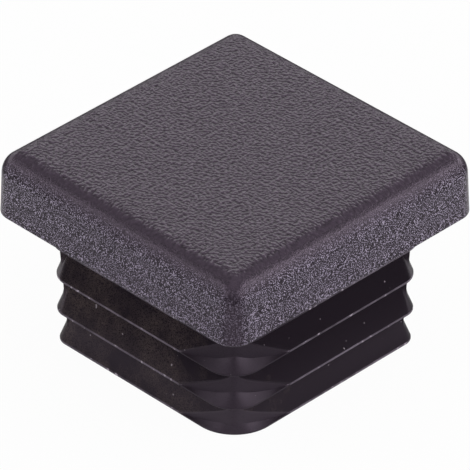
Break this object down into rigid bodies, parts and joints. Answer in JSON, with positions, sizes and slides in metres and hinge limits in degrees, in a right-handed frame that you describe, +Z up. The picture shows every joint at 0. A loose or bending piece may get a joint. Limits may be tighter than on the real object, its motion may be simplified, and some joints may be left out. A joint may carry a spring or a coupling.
{
  "type": "ribbed tube end cap",
  "caption": "Black plastic end cap for a square tube: grained rounded square head on a hollow, ribbed plug that presses into the bore.",
  "frame": {"origin": "centre of the plug's open rim, on the surface that the cap stands on", "axes": "+Z up through the head; X and Y square to the head's sides; the corner nearest the camera in the picture is at +X -Y"},
  "size_m": [0.025, 0.025, 0.0166],
  "materials": {
    "black_polyethylene": "fine spark-eroded grain on the head, smooth and slightly glossy on the plug"
  },
  "bodies": {
    "root": {"tube_end_cap": "black_polyethylene"}
  },
  "joints": []
}
